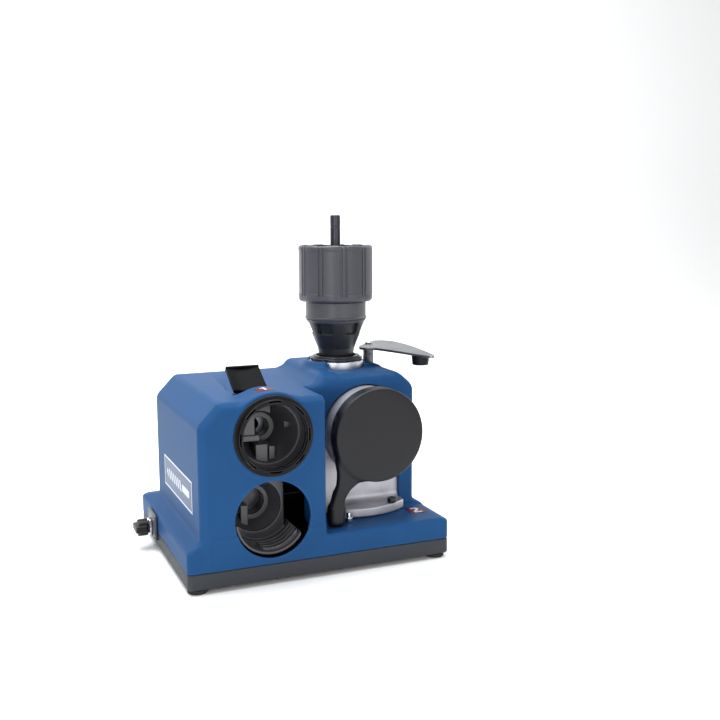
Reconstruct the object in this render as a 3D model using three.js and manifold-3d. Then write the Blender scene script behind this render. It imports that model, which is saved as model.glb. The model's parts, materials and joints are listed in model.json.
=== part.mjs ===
// Two-station drill bit sharpener with its chuck standing in the grinding port.
// Millimetres, +Z up, +X to the machine's right, +Y to the back.
import * as THREE from 'three';
import { mergeVertices } from 'three/addons/utils/BufferGeometryUtils.js';
import Module from 'manifold-3d';

const wasm = await Module();
wasm.setup();
const { Manifold, Mesh: MMesh } = wasm;

// ---- driving dimensions -------------------------------------------------
const BASE_L = 206, BASE_D = 170, BASE_H = 12, BASE_WALL = 3, BASE_R = 3.6;
const FOOT_H = 3.5, FOOT_R = 7.4;
const GAP = 0.3, WALL = 3;
const SKIRT_TOP = 27.6, WALL_FOOT = 33.2, INSET = 10.2;
const BLOCK_TOP = 132.4, BLOCK_RIGHT = 104.5, BLOCK_CHAMFER = 15.8;
const TOWER_TOP = 141, TOWER_FRONT = 42, TOWER_RIGHT = 196, TOWER_LEFT = 114;
const REAR_WALL = 145.5, LEDGE_Z = 28.5;
const AX = 64, AZ = 106.5, A_RING = 27, A_BORE = 23, A_FLANGE = 29.5, BULGE_R = 31.5;
const SX = 63.4, SZ = 45, S_HOLE = 28.3;
const CX = 149.8, CY = 94;
const WX = 154, WZ = 95, BOSS_R = 34.5, CHAMBER_R = 31, WHEEL_R = 28;
const DX = 151, DZ = 97, DISC_R = 36;
const HX = 118, HY = 16;
const PX = 184.5, PY = 107, POST_R = 4.5;
const LEV_Y = 47, LEV_Z = 124;
const KNOB_Y = 117, KNOB_Z = 14;
// the frame's origin is the middle of the object's underside
const SHIFT = [-(212.6 - 16) / 2, -(173 - 6) / 2, FOOT_H];

// ---- helpers ---------------------------------------------------------------
function toM(geo) {
  let g = geo.clone();
  g.deleteAttribute('normal'); g.deleteAttribute('uv');
  if (g.index) g = g.toNonIndexed();
  g = mergeVertices(g, 1e-4);
  return new Manifold(new MMesh({ numProp: 3,
    vertProperties: new Float32Array(g.attributes.position.array),
    triVerts: new Uint32Array(g.index.array) }));
}
function toGeo(m) {
  const mesh = m.getMesh();
  const g = new THREE.BufferGeometry();
  const p = new Float32Array(mesh.numVert * 3);
  for (let i = 0; i < mesh.numVert; i++) for (let k = 0; k < 3; k++)
    p[3 * i + k] = mesh.vertProperties[i * mesh.numProp + k];
  g.setAttribute('position', new THREE.BufferAttribute(p, 3));
  g.setIndex(new THREE.BufferAttribute(new Uint32Array(mesh.triVerts), 1));
  return g;
}
function box(x0, x1, y0, y1, z0, z1) {
  const g = new THREE.BoxGeometry(x1 - x0, y1 - y0, z1 - z0);
  g.translate((x0 + x1) / 2, (y0 + y1) / 2, (z0 + z1) / 2);
  return toM(g);
}
function cylZ(x, y, r, z0, z1, n = 18, r2 = r) {
  const g = new THREE.CylinderGeometry(r2, r, z1 - z0, n);
  g.rotateX(Math.PI / 2); g.translate(x, y, (z0 + z1) / 2);
  return toM(g);
}
function cylY(x, z, r, y0, y1, n = 18, r2 = r) {
  const g = new THREE.CylinderGeometry(r2, r, y1 - y0, n);
  g.translate(x, (y0 + y1) / 2, z);
  return toM(g);
}
function cylX(y, z, r, x0, x1, n = 14, r2 = r) {
  const g = new THREE.CylinderGeometry(r2, r, x1 - x0, n);
  g.rotateZ(-Math.PI / 2); g.translate((x0 + x1) / 2, y, z);
  return toM(g);
}
function shapeOf(pts) {
  const s = new THREE.Shape();
  pts.forEach((p, i) => (i ? s.lineTo(p[0], p[1]) : s.moveTo(p[0], p[1])));
  s.closePath();
  return s;
}
const ext = (s, d) => new THREE.ExtrudeGeometry(s, { depth: d, bevelEnabled: false, steps: 1 });
// outline in the X-Y plane, raised from z0 to z1
function exZ(pts, z0, z1) { const g = ext(shapeOf(pts), z1 - z0); g.translate(0, 0, z0); return toM(g); }
// outline in the X-Z plane, run from y0 to y1
function exY(pts, y0, y1) {
  const g = ext(shapeOf(pts.map(([x, z]) => [x, z])), y1 - y0);
  g.rotateX(Math.PI / 2); g.translate(0, y1, 0);
  return toM(g);
}
// outline in the Y-Z plane, run from x0 to x1
function exX(pts, x0, x1) {
  const g = ext(shapeOf(pts), x1 - x0);
  g.rotateX(Math.PI / 2); g.rotateZ(Math.PI / 2); g.translate(x0, 0, 0);
  return toM(g);
}
function roundRect(x0, x1, y0, y1, r, n = 3) {
  const c = [[x1 - r, y1 - r, 0], [x0 + r, y1 - r, 90], [x0 + r, y0 + r, 180], [x1 - r, y0 + r, 270]];
  const out = [];
  for (const [cx, cy, a] of c) for (let i = 0; i <= n; i++) {
    const t = (a + (90 * i) / n) * Math.PI / 180;
    out.push([cx + r * Math.cos(t), cy + r * Math.sin(t)]);
  }
  return out;
}
// closed profile of [radius, height] turned about the vertical through x,y
function latheZ(x, y, prof, n = 28) {
  const pts = prof.map(([r, h]) => new THREE.Vector2(r, h));
  if (prof[0][0] > 0) pts.push(pts[0].clone());
  const g = new THREE.LatheGeometry(pts, n);
  g.rotateX(Math.PI / 2); g.translate(x, y, 0);
  return orient(toM(g));
}
// the same about the front-to-back line through x,z
function latheY(x, z, prof, n = 28) {
  const pts = prof.map(([r, h]) => new THREE.Vector2(r, h));
  if (prof[0][0] > 0) pts.push(pts[0].clone());
  const g = new THREE.LatheGeometry(pts, n);
  g.translate(x, 0, z);
  return orient(toM(g));
}
function orient(m) {
  const v = typeof m.volume === 'function' ? m.volume() : 1;
  if (v >= 0) return m;
  const k = m.getMesh();
  const t = new Uint32Array(k.triVerts);
  for (let i = 0; i < t.length; i += 3) { const a = t[i]; t[i] = t[i + 1]; t[i + 1] = a; }
  return new Manifold(new MMesh({ numProp: k.numProp, vertProperties: k.vertProperties, triVerts: t }));
}
const all = (...ms) => ms.reduce((a, b) => a.add(b));

const group = new THREE.Group();
group.name = 'drill_bit_sharpener';
const MATS = {
  blue: [0x2f5f96, 0.45, 0], black: [0x34353a, 0.55, 0], gloss: [0x3a3b40, 0.3, 0],
  rubber: [0x202022, 0.9, 0], alu: [0xb9bcc0, 0.42, 0.9], steel: [0x8d9096, 0.35, 1],
  dark_steel: [0x5c5d60, 0.4, 1], chrome: [0xd8dade, 0.12, 1], diamond: [0x9a948a, 0.8, 0.3],
  white: [0xdadbd6, 0.6, 0], copper: [0x9c5a34, 0.45, 0.8],
};
function add(name, m, mat) {
  const [color, roughness, metalness] = MATS[mat];
  const mesh = new THREE.Mesh(toGeo(m), new THREE.MeshStandardMaterial({ color, roughness, metalness, name: mat }));
  mesh.name = name;
  mesh.geometry.translate(...SHIFT);
  mesh.geometry.computeVertexNormals();
  group.add(mesh);
  return mesh;
}

// ---- base tray and feet ------------------------------------------------------
const footAt = [[8.4, 8.4], [197.6, 8.4], [8.4, 161.6], [197.6, 161.6]];
const screwAt = [[6.6, 34], [199.4, 34], [6.6, 136.5], [199.4, 136.5]];
let base = exZ(roundRect(0, BASE_L, 0, BASE_D, BASE_R), 0, BASE_H)
  .subtract(exZ(roundRect(BASE_WALL, BASE_L - BASE_WALL, BASE_WALL, BASE_D - BASE_WALL, 1.2), BASE_WALL, BASE_H + 1))
  .subtract(cylX(KNOB_Y, KNOB_Z, 6.3, -1, BASE_WALL + 1, 20));
for (const [x, y] of footAt) base = base.subtract(cylZ(x, y, 2.6, -1, 4, 10));
for (const [x, y] of screwAt) base = base.add(cylZ(x, y, 4, 1, BASE_H, 8));
for (const [x, y] of screwAt) base = base.subtract(cylZ(x, y, 1.9, -1, BASE_H + 1, 8)).subtract(cylZ(x, y, 3.2, -1, 3.5, 8));
base = base.intersect(exZ(roundRect(0, BASE_L, 0, BASE_D, BASE_R), -1, BASE_H));
add('base_tray', base, 'black');
['foot_front_left', 'foot_front_right', 'foot_rear_left', 'foot_rear_right'].forEach((n, i) => {
  const [x, y] = footAt[i];
  add(n, cylZ(x, y, FOOT_R - 0.8, -FOOT_H, -GAP, 14, FOOT_R).add(cylZ(x, y, 2.1, -1, 2.6, 8)), 'rubber');
});
['housing_screw_fl', 'housing_screw_fr', 'housing_screw_rl', 'housing_screw_rr'].forEach((n, i) => {
  const [x, y] = screwAt[i];
  add(n, cylZ(x, y, 2.6, 0.6, 3, 8).add(cylZ(x, y, 1.4, 2.5, 22, 6)), 'steel');
});

// ---- housing shell -------------------------------------------------------------
function arc(cy, cz, r, a0, a1, n) {
  const out = [];
  for (let i = 0; i <= n; i++) { const t = (a0 + (a1 - a0) * i / n) * Math.PI / 180; out.push([cy + r * Math.cos(t), cz + r * Math.sin(t)]); }
  return out;
}
function solid(t) {
  const b = t ? -5 : BASE_H + GAP, c = t * 0.42;
  // skirt: upright, then sloping in to the walls
  const skX = exY([[t, b], [BASE_L - t, b], [BASE_L - t, SKIRT_TOP - c], [TOWER_RIGHT - t, WALL_FOOT + 2],
    [INSET + t, WALL_FOOT + 2], [t, SKIRT_TOP - c]], t ? t : 0, BASE_D - t);
  const skY = exX([[t, b], [BASE_D - t, b], [BASE_D - t, SKIRT_TOP - c], [REAR_WALL - t, WALL_FOOT + 2 ], [t, WALL_FOOT + 2]], -5, BASE_L + 5);
  const skZ = exZ(roundRect(t, BASE_L - t, t, BASE_D - t, Math.max(2, BASE_R - t)), b, WALL_FOOT + 2);
  let sk = skX.intersect(skY).intersect(skZ);
  sk = sk.subtract(box(BLOCK_RIGHT - t, BASE_L + 5, -5, TOWER_FRONT + t, LEDGE_Z - t, 60));
  // left block with its chamfered edge, front rim softened
  const ch = BLOCK_CHAMFER - t * 0.4;
  const bl = exY([[INSET + t, 16], [BLOCK_RIGHT - t, 16], [BLOCK_RIGHT - t, BLOCK_TOP - 4 - t * 0.6], [BLOCK_RIGHT - 4 - t * 0.6, BLOCK_TOP - t],
    [INSET + ch + t, BLOCK_TOP - t], [INSET + 2 + t, BLOCK_TOP - ch + 0.4 - t], [INSET + t, BLOCK_TOP - ch - 4 - t]], t, REAR_WALL - t)
    .intersect(exX([[t, 16], [REAR_WALL - t, 16], [REAR_WALL - t, BLOCK_TOP - 5 - t], [REAR_WALL - 5 - t, BLOCK_TOP - t], [3 + t, BLOCK_TOP - t], [0.8 + t, BLOCK_TOP - 0.8 - t], [t, BLOCK_TOP - 3 - t]], -5, BASE_L));
  // join of block and tower, level with the block's top
  const mid = box(BLOCK_RIGHT - 8, TOWER_LEFT + 12, TOWER_FRONT + t, REAR_WALL - t, 24, BLOCK_TOP - t);
  // tower with chamfered right edge and a rounded brow
  const R = 24 - t;
  const tw = exY([[TOWER_LEFT - 7.5 + t, 24], [TOWER_RIGHT - t, 24], [TOWER_RIGHT - t, 127 - c], [182 - c, TOWER_TOP - t],
    [TOWER_LEFT + 9 + t, TOWER_TOP - t], [TOWER_LEFT + 3 + t, TOWER_TOP - 3.2 - t], [TOWER_LEFT - 2 + t, BLOCK_TOP - t], [TOWER_LEFT - 7.5 + t, BLOCK_TOP - t - 0.5]], TOWER_FRONT + t, REAR_WALL - t)
    .intersect(exX([[TOWER_FRONT + t, 16], [REAR_WALL - t, 16], [REAR_WALL - t, TOWER_TOP - 5 - t], [REAR_WALL - 5 - t, TOWER_TOP - t],
      ...arc(TOWER_FRONT + t + R, TOWER_TOP - t - R, R, 90, 180, 6)], -5, BASE_L));
  return all(sk, bl, mid, tw);
}
let housing = solid(0);
housing = housing.add(cylY(AX, AZ, BULGE_R, 0, 27, 30));
let hollow = solid(WALL);
hollow = hollow.subtract(cylY(AX, AZ, BULGE_R, -1, 3.2, 30));
housing = housing.subtract(hollow);
// screw bosses
for (const [x, y] of screwAt) housing = housing.add(cylZ(x, y, 4.4, BASE_H + GAP, 25.5, 12));
housing = housing.intersect(solid(0).add(cylY(AX, AZ, BULGE_R, 0, 27, 30)));
for (const [x, y] of screwAt) housing = housing.subtract(cylZ(x, y, 1.8, 5, 23, 10));
housing = housing
  .subtract(cylY(AX, AZ, A_RING + 0.4, -5, 30, 30))
  .subtract(cylY(SX, SZ, S_HOLE, -5, WALL + 1, 30))
  .subtract(box(45, 72.3, 30.5, 62, 120, 150))
  .subtract(box(113, 182.5, TOWER_FRONT - 3, TOWER_FRONT + 6, LEDGE_Z, 96))
  .subtract(cylY(WX, WZ, BOSS_R + 0.8, TOWER_FRONT - 3, TOWER_FRONT + 18, 34))
  .subtract(cylZ(CX, CY, 22.4, 130, 150, 30))
  .subtract(cylZ(PX, PY, POST_R + 0.3, 125, 150, 18))
  .subtract(cylZ(HX, HY, 2.4, 20, 32, 12))
  .subtract(cylX(KNOB_Y, KNOB_Z, 6.3, -1, 4, 20))
  .subtract(cylY(41, 19.8, 5.3, BASE_D - 6, BASE_D + 1, 18));
add('housing', housing, 'blue');

// ---- station 1: alignment port ------------------------------------------------
let socket = latheY(AX, AZ, [[A_BORE, -6], [A_RING - 0.8, -6], [A_RING, -5.2], [A_RING + 0.6, -2.6], [A_FLANGE, -2.2], [A_FLANGE, -GAP],
  [A_RING, -GAP], [A_RING, 21], [13, 37], [13, 44], [7, 44], [7, 34], [11, 33], [20.5, 12], [A_BORE, 8]], 26);
for (let i = 0; i < 6; i++) {
  const a = (i * 60 + 90) * Math.PI / 180;
  const g = new THREE.BoxGeometry(2.2, 2.4, 7.5); g.translate(25.3, -6, 0); g.rotateY(-a); g.translate(AX, 0, AZ);
  socket = socket.subtract(toM(g));
}
// stepped stop blocks inside the bowl
const inBowl = latheY(AX, AZ, [[0, 6], [22.9, 8], [22.9, 8.2], [21, 12.4], [11.6, 33.4], [0, 34.5]], 26);
const steps = all(box(AX - 24, AX - 14, 10, 30, AZ + 1, AZ + 24), box(AX - 24, AX - 7, 12, 32, AZ - 4.5, AZ - 1),
  box(AX - 9, AX + 1.5, 12, 33, AZ - 24, AZ - 9));
socket = socket.add(steps.intersect(inBowl)).subtract(cylY(AX, AZ, 7, 5, 50, 24));
add('alignment_socket', socket, 'gloss');
const carrier = all(box(38, 90, 53, 57, 92, 128.7), box(41, 44, 42.5, 54, 120.5, 128.7), box(74, 77, 42.5, 54, 120.5, 128.7))
  .subtract(cylX(LEV_Y, LEV_Z, 2.3, 38, 80, 14)).subtract(box(48.5, 69.5, 50, 60, 122, 131)).subtract(cylY(AX, AZ, 5, 50, 60, 16));
add('jaw_carrier', carrier, 'steel');
add('alignment_jaw_left', all(box(46, 63.2, 45.2, 51.5, 100, 113)).subtract(cylY(65.5, AZ, 4.5, 44, 52, 14)), 'steel');
add('alignment_jaw_right', all(box(64.8, 82, 45.2, 51.5, 100, 113)).subtract(cylY(62.5, AZ, 4.5, 44, 52, 14)), 'steel');
// lever: hub, web and the leaning thumb paddle with a dished face
const padX0 = 45.6, padX1 = 71.5;
let paddle = exX([[34.6, 134.6], [36.6, 131.6], [59.6, 145.6], [58, 148]], padX0 + 0.2, padX1);
let lever = all(paddle, exX([[44.5, 124], [49.5, 124], [50.5, 141], [45.5, 138.5]], 51, 66), cylX(LEV_Y, LEV_Z, 4.4, 51, 66, 18))
  .subtract(cylX(LEV_Y, LEV_Z, 2.3, 40, 80, 14));
add('alignment_lever', lever, 'gloss');
add('lever_pin', cylX(LEV_Y, LEV_Z, 1.9, 40.5, 77.5, 14), 'steel');
// torsion spring on the pin
class Helix extends THREE.Curve {
  getPoint(t, o = new THREE.Vector3()) {
    const a = t * Math.PI * 2 * 3;
    return o.set(67.6 + 5.4 * t, LEV_Y + 3.4 * Math.cos(a), LEV_Z + 3.4 * Math.sin(a));
  }
}
const wire = new THREE.Shape(); wire.absarc(0, 0, 0.6, 0, Math.PI * 2, false);
add('lever_spring', orient(toM(new THREE.ExtrudeGeometry(wire, { extrudePath: new Helix(), steps: 24, curveSegments: 2, bevelEnabled: false }))), 'steel');

// ---- chuck rest under station 1 ------------------------------------------------
let cradle = cylY(SX, SZ, 27.4, 3.4, 66, 30)
  .subtract(cylY(SX, SZ, 25.2, 2, 34, 30))
  .subtract(box(SX - 40, SX + 40, 2, 34, SZ + 6, SZ + 40))
  .subtract(box(SX + 19, SX + 40, 2, 70, SZ - 16, SZ + 40))
  .subtract(latheY(SX - 2, SZ, [[0, 30], [20, 30], [20, 36], [17, 44], [10.5, 48], [10.5, 58], [0, 58]], 24));
for (let i = 0; i < 4; i++)
  cradle = cradle.add(latheY(SX, SZ, [[25.6, 8 + 6 * i], [23.6, 9 + 6 * i], [23.6, 10.4 + 6 * i], [25.6, 11.4 + 6 * i]], 24)
    .intersect(box(SX - 4, SX + 18.8, 2, 34, SZ - 30, SZ - 4)));
cradle = cradle.add(box(SX - 12, SX - 3, 42, 62, SZ - 19, SZ - 7).intersect(cylY(SX, SZ, 26, 30, 66, 30)));
add('chuck_rest', cradle, 'black');

// ---- station 2: casting, port, wheel guard ------------------------------------
const sector = [];
for (let i = 0; i <= 14; i++) { const t = (-114 + (46 + 22 - 14) * i / 14) * Math.PI / 180; sector.push([150.8 + 53.9 * Math.cos(t), 78.9 + 53.9 * Math.sin(t)]); }
let casting = all(
  box(115.5, 188, 45.4, 50, 29.2, 112),
  exZ([...sector, [182, 47], [128.9, 47]], 29.2, 36),
  exX([[46.5, 35], [46.5, 44], [45.4, 41], [43.5, 38], [40.5, 36], [38, 35]], 128.9, 181.8),
  cylY(WX, WZ, BOSS_R, 20, 102.7, 34),
  cylZ(CX, CY, 20, 112, 132.7, 36));
casting = casting.subtract(cylY(WX, WZ, CHAMBER_R, 15, 98.7, 34)).subtract(cylZ(CX, CY, 16.8, 105, 135, 36).intersect(box(0, 200, 60, 98.7 + 14, 105, 135)))
  .subtract(cylY(WX, WZ, 6, 95, 110, 20)).subtract(cylZ(172.3, 33, 2, 28, 40, 12));
for (const s of [-1, 1]) casting = casting.subtract(cylY(WX + s * 16, WZ, 1.9, 95, 110, 10));
casting = casting.subtract(box(100, 200, 103.5, 120, 104, 124));
add('grinding_head_casting', casting, 'alu');
add('flange_screw', cylZ(172.3, 33, 3.6, 36.3, 39.6, 16).subtract(cylZ(172.3, 33, 1.7, 38, 41, 6)).add(cylZ(172.3, 33, 1.6, 29.5, 37, 10)), 'dark_steel');
add('guard_stop_screw', cylZ(130.2, 20.8, 3.1, LEDGE_Z + GAP, 32.8, 6).add(cylZ(130.2, 20.8, 1.9, 32, 36, 12)), 'chrome');
add('port_sleeve', latheZ(CX, CY, [[16.8, 133], [20, 133], [22, 135], [22, 144], [16.8, 144]]), 'alu');
let ring = latheZ(CX, CY, [[16.4, 144.3], [21.4, 144.3], [21.4, 146.2], [19.2, 148], [16.4, 148]]);
for (let i = 0; i < 6; i++) { const a = i * Math.PI / 3 + 0.2; ring = ring.subtract(cylZ(CX + 21.8 * Math.cos(a), CY + 21.8 * Math.sin(a), 1.7, 143, 150, 6)); }
add('guide_ring', ring, 'dark_steel');

let cover = latheY(DX, DZ, [[0, 6], [31, 6], [34.4, 7.2], [DISC_R, 10], [DISC_R, 18.6], [35.2, 19.4], [32.6, 19.4], [32.6, 13], [0, 13]], 30);
cover = cover.add(exY([[113.4, 50], [112.6, 40], [123.6, 40], [124.6, 48], [128, 55], [133, 60], [139, 63.5], [128, 78], [116.8, 86], [118.8, 76], [118, 62]], 8, 17)
  .subtract(cylY(DX, DZ, 32.6, 12.8, 20, 30)))
  .add(cylZ(HX, HY, 6.2, 29.2, 52, 20)).subtract(cylZ(HX, HY, 2.3, 25, 60, 14));
add('wheel_guard', cover, 'black');
add('guard_hinge_pin', cylZ(HX, HY, 1.9, 22, 51.8, 14), 'steel');

const leafPts = [[167.5, 87], [171.5, 81], [178, 79], [184, 62], [189, 45], [193, 30], [197, 18.5], [200, 15.5], [203.5, 22], [206.5, 38], [209.5, 58], [212, 80],
  [212.6, 99], [211, 116], [206, 125], [197, 126], [187, 116], [179, 106], [171.5, 97]];
const leaf = exZ(leafPts, 151.6, 153.8).add(cylZ(200, 39, 6.6, 143.8, 152, 20, 7.6)).subtract(cylZ(PX, PY, 2.3, 140, 160, 14));
add('leaf_cover', leaf, 'dark_steel');
add('leaf_post', cylZ(PX, PY, POST_R, 126, 151, 18).add(cylZ(PX, PY, 1.9, 150, 153.8, 14)), 'steel');
add('leaf_screw', cylZ(PX, PY, 3.4, 154.1, 156, 16, 2.8), 'chrome');

// ---- motor and wheel ------------------------------------------------------------
let can = latheY(WX, WZ, [[23, 104.4], [26, 104.4], [26, 138.2], [23, 138.2]], 20).add(latheY(WX, WZ, [[8.3, 104.4], [24, 104.4], [24, 107.4], [8.3, 107.4]], 20));
for (const s of [-1, 1]) can = can.subtract(cylY(WX + s * 16, WZ, 1.9, 100, 110, 10));
add('motor_can', can, 'steel');
add('motor_end_cap', latheY(WX, WZ, [[8.3, 138.5], [26, 138.5], [26, 141.6], [8.3, 141.6]], 20), 'black');
add('motor_rotor', latheY(WX, WZ, [[3.3, 110], [21.5, 110], [21.5, 135.5], [3.3, 135.5]], 22), 'copper');
add('spindle', latheY(WX, WZ, [[0, 73.5], [3, 73.5], [3, 141], [0, 141]], 16), 'steel');
add('bearing_front', latheY(WX, WZ, [[3.3, 104.6], [8, 104.6], [8, 108.4], [3.3, 108.4]], 14), 'steel');
add('bearing_rear', latheY(WX, WZ, [[3.3, 137], [8, 137], [8, 141.4], [3.3, 141.4]], 14), 'steel');
add('wheel_hub', latheY(WX, WZ, [[3.3, 79.4], [9, 79.4], [9, 94], [13, 94.3], [13, 96.4], [3.3, 96.4]], 16), 'alu');
add('grinding_wheel', latheY(WX, WZ, [[9.3, 81], [24, 81], [WHEEL_R, 85], [WHEEL_R, 94], [9.3, 94]], 28), 'diamond');
add('wheel_nut', cylY(WX, WZ, 5.4, 75, 79.1, 6).subtract(cylY(WX, WZ, 3.3, 70, 80, 16)), 'steel');
for (const s of [-1, 1]) add(s < 0 ? 'motor_screw_left' : 'motor_screw_right',
  cylY(WX + s * 16, WZ, 3, 97.2, 98.5, 8).add(cylY(WX + s * 16, WZ, 1.5, 98, 107.2, 8)), 'steel');

// ---- chuck ------------------------------------------------------------------------
const body = latheZ(CX, CY, [[6.8, 134], [13.3, 134], [13.9, 135], [13.9, 151], [24.6, 178.5], [24.6, 192.3], [9, 192.3], [9, 178], [6.8, 172]], 30);
let bodyCut = body;
for (let i = 0; i < 4; i++) {
  const a = i * Math.PI / 2 + 0.35;
  const g = new THREE.BoxGeometry(5, 8, 11); g.translate(24.2, 0, 170.8); g.rotateZ(a); g.translate(CX, CY, 0);
  bodyCut = bodyCut.subtract(toM(g));
}
add('chuck_body', bodyCut, 'black');
add('chuck_collet', latheZ(CX, CY, [[4.5, 128], [5.6, 128], [6.4, 134], [6.4, 172.2], [8.6, 178.6], [8.6, 190], [4.5, 190]], 14), 'steel');
const lob = [];
for (let i = 0; i < 10; i++) {
  const a = i * 36;
  for (const [d, r] of [[-15.2, 29.6], [-5, 30.4], [5, 30.4], [15.2, 29.6], [18, 28.8]]) {
    const t = (a + d) * Math.PI / 180; lob.push([CX + r * Math.cos(t), CY + r * Math.sin(t)]);
  }
}
let knob = exZ(lob, 193.5, 238).add(cylZ(CX, CY, 27.4, 192.6, 194, 40, 28.8))
  .subtract(cylZ(CX, CY, 26.6, 206, 240, 30)).subtract(cylZ(CX, CY, 24.4, 190, 202, 36))
  .add(cylZ(CX, CY, 9.5, 192.8, 214, 24)).subtract(cylZ(CX, CY, 4.5, 180, 220, 16));
add('chuck_knob', knob, 'black');
add('drill_bit', latheZ(CX, CY, [[0, 124.4], [4, 127.8], [4.1, 261.4], [3.5, 262], [0, 262]], 16), 'dark_steel');

// ---- switch, wiring parts, cable gland ---------------------------------------------
add('switch_bezel', box(-2.5, -GAP, 103, 131, 5, 26).subtract(cylX(KNOB_Y, KNOB_Z, 5.3, -5, 1, 20)), 'black');
add('switch_nut', cylX(KNOB_Y, KNOB_Z, 7.4, -4.8, -2.8, 6).subtract(cylX(KNOB_Y, KNOB_Z, 5.3, -6, -1, 20)), 'chrome');
add('switch_body', box(4, 22, KNOB_Y - 11, KNOB_Y + 11, 4, 25).add(cylX(KNOB_Y, KNOB_Z, 5, -5.6, 5, 20)).subtract(cylX(KNOB_Y, KNOB_Z, 2.5, -8, 10, 14)), 'black');
let sk = cylX(KNOB_Y, KNOB_Z, 7.2, -16, -6, 18).add(box(-16, -8, KNOB_Y - 8.4, KNOB_Y + 8.4, KNOB_Z - 2.6, KNOB_Z + 2.6)).add(cylX(KNOB_Y, KNOB_Z, 2.2, -8, 8, 14));
add('switch_knob', sk, 'black');
add('terminal_block', box(28, 54, 118, 130, 3.4, 15).subtract(box(30, 34, 117, 131, 11, 16)).subtract(box(39, 43, 117, 131, 11, 16)).subtract(box(48, 52, 117, 131, 11, 16)), 'white');
add('cable_gland', latheY(41, 19.8, [[3, 160], [5, 160], [5, BASE_D + GAP], [7.4, BASE_D + GAP], [7, 173], [3, 173]], 12), 'rubber');

export default group;
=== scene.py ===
import bpy, bmesh, math, json
import numpy as np
from mathutils import Vector, Matrix, Euler


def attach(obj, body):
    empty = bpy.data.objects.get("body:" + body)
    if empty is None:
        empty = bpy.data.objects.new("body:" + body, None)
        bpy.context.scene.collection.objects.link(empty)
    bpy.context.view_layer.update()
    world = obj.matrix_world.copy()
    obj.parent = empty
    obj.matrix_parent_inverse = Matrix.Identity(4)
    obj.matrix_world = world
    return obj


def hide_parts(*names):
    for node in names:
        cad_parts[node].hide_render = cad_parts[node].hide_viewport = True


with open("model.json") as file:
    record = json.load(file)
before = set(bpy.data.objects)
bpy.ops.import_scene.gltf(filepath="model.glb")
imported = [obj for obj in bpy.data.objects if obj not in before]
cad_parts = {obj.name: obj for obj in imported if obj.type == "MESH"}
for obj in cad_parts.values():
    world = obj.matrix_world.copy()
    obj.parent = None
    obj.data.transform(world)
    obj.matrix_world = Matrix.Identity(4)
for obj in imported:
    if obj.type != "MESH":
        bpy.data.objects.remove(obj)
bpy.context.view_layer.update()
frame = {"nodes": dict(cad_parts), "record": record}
KQ = 1.0
OFF = np.array([-98.3, -83.5, 3.5])          # drawing frame (mm) to the row frame

# ------------------------------------------------------------------ fields
def slab(a, lo, hi): return np.maximum(lo - a, a - hi)
def rmax(a, b, r):
    if r <= 0: return np.maximum(a, b)
    return np.minimum(np.maximum(a, b), -r) + np.sqrt(np.maximum(a + r, 0) ** 2 + np.maximum(b + r, 0) ** 2)
def rmin(a, b, r): return -rmax(-a, -b, r)
def cut(a, b, r=0.0): return rmax(a, -b, r)
def cyl(a, b, ca, cb, r): return np.sqrt((a - ca) ** 2 + (b - cb) ** 2) - r
def rrect(x, y, x0, x1, y0, y1, r):
    qx = np.abs(x - (x0 + x1) / 2) - ((x1 - x0) / 2 - r); qy = np.abs(y - (y0 + y1) / 2) - ((y1 - y0) / 2 - r)
    return np.minimum(np.maximum(qx, qy), 0) + np.sqrt(np.maximum(qx, 0) ** 2 + np.maximum(qy, 0) ** 2) - r
def bx(x, y, z, x0, x1, y0, y1, z0, z1, r=0.0):
    return rmax(rmax(slab(x, x0, x1), slab(y, y0, y1), r), slab(z, z0, z1), r)
def plane(a, b, pa, pb, na, nb):
    n = math.hypot(na, nb); return ((a - pa) * na + (b - pb) * nb) / n
def poly2(a, b, pts):
    """signed distance to a closed outline, inside negative"""
    a, b = np.broadcast_arrays(a, b)
    d = np.full(a.shape, 1e9); s = np.ones(a.shape)
    n = len(pts)
    for i in range(n):
        x0, y0 = pts[i]; x1, y1 = pts[i - 1]
        ex, ey = x1 - x0, y1 - y0
        wx, wy = a - x0, b - y0
        t = np.clip((wx * ex + wy * ey) / (ex * ex + ey * ey + 1e-12), 0, 1)
        d = np.minimum(d, (wx - ex * t) ** 2 + (wy - ey * t) ** 2)
        c1, c2, c3 = b >= y0, b < y1, ex * wy > ey * wx
        flip = (c1 & c2 & c3) | (~c1 & ~c2 & ~c3)
        s = np.where(flip, -s, s)
    return s * np.sqrt(d)

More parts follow.
